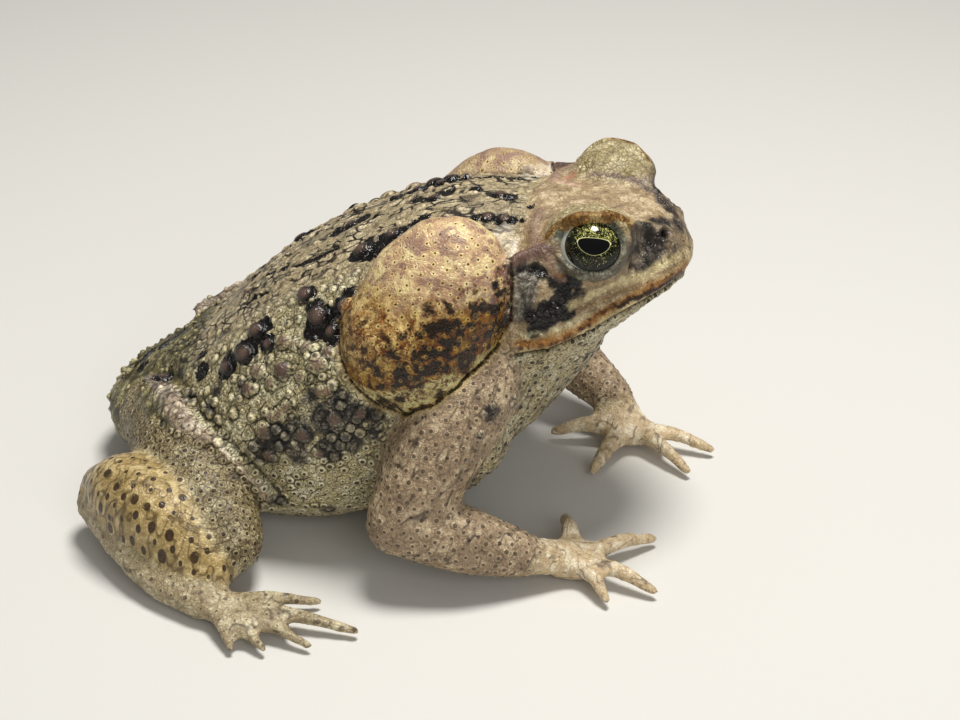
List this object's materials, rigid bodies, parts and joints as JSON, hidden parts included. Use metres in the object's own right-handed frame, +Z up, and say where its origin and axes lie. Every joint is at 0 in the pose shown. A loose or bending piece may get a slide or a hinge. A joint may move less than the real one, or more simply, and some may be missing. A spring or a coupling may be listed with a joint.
{
  "type": "cane toad",
  "caption": "Still, life-size cane toad sitting with its front raised on both arms, hind legs folded, with large glands behind the head and domed warts on the back.",
  "frame": {"origin": "on the floor under the middle of the animal's bounding box", "axes": "+X the way the toad faces, +Y the toad's left, +Z up"},
  "size_m": [0.1608, 0.1706, 0.0904],
  "materials": {
    "skin": "painted resin, satin, warty",
    "pale_skin": "painted resin, satin, granular",
    "gland": "painted resin, half gloss, pitted",
    "limb_skin": "painted resin, satin, spotted",
    "ear_drum": "painted resin, satin",
    "eye": "clear gloss over a dark iris with gold flecks"
  },
  "bodies": {
    "root": {"head": "skin", "lower_jaw": "pale_skin", "eye_right": "eye", "eye_left": "eye", "tympanum_right": "ear_drum", "tympanum_left": "ear_drum", "parotoid_right": "gland", "parotoid_left": "gland", "torso": "skin", "upper_arm_right": "limb_skin", "upper_arm_left": "limb_skin", "forearm_right": "limb_skin", "forearm_left": "limb_skin", "hand_right": "limb_skin", "hand_left": "limb_skin", "thigh_right": "limb_skin", "thigh_left": "limb_skin", "shank_right": "limb_skin", "shank_left": "limb_skin", "foot_right": "limb_skin", "foot_left": "limb_skin"}
  },
  "joints": []
}
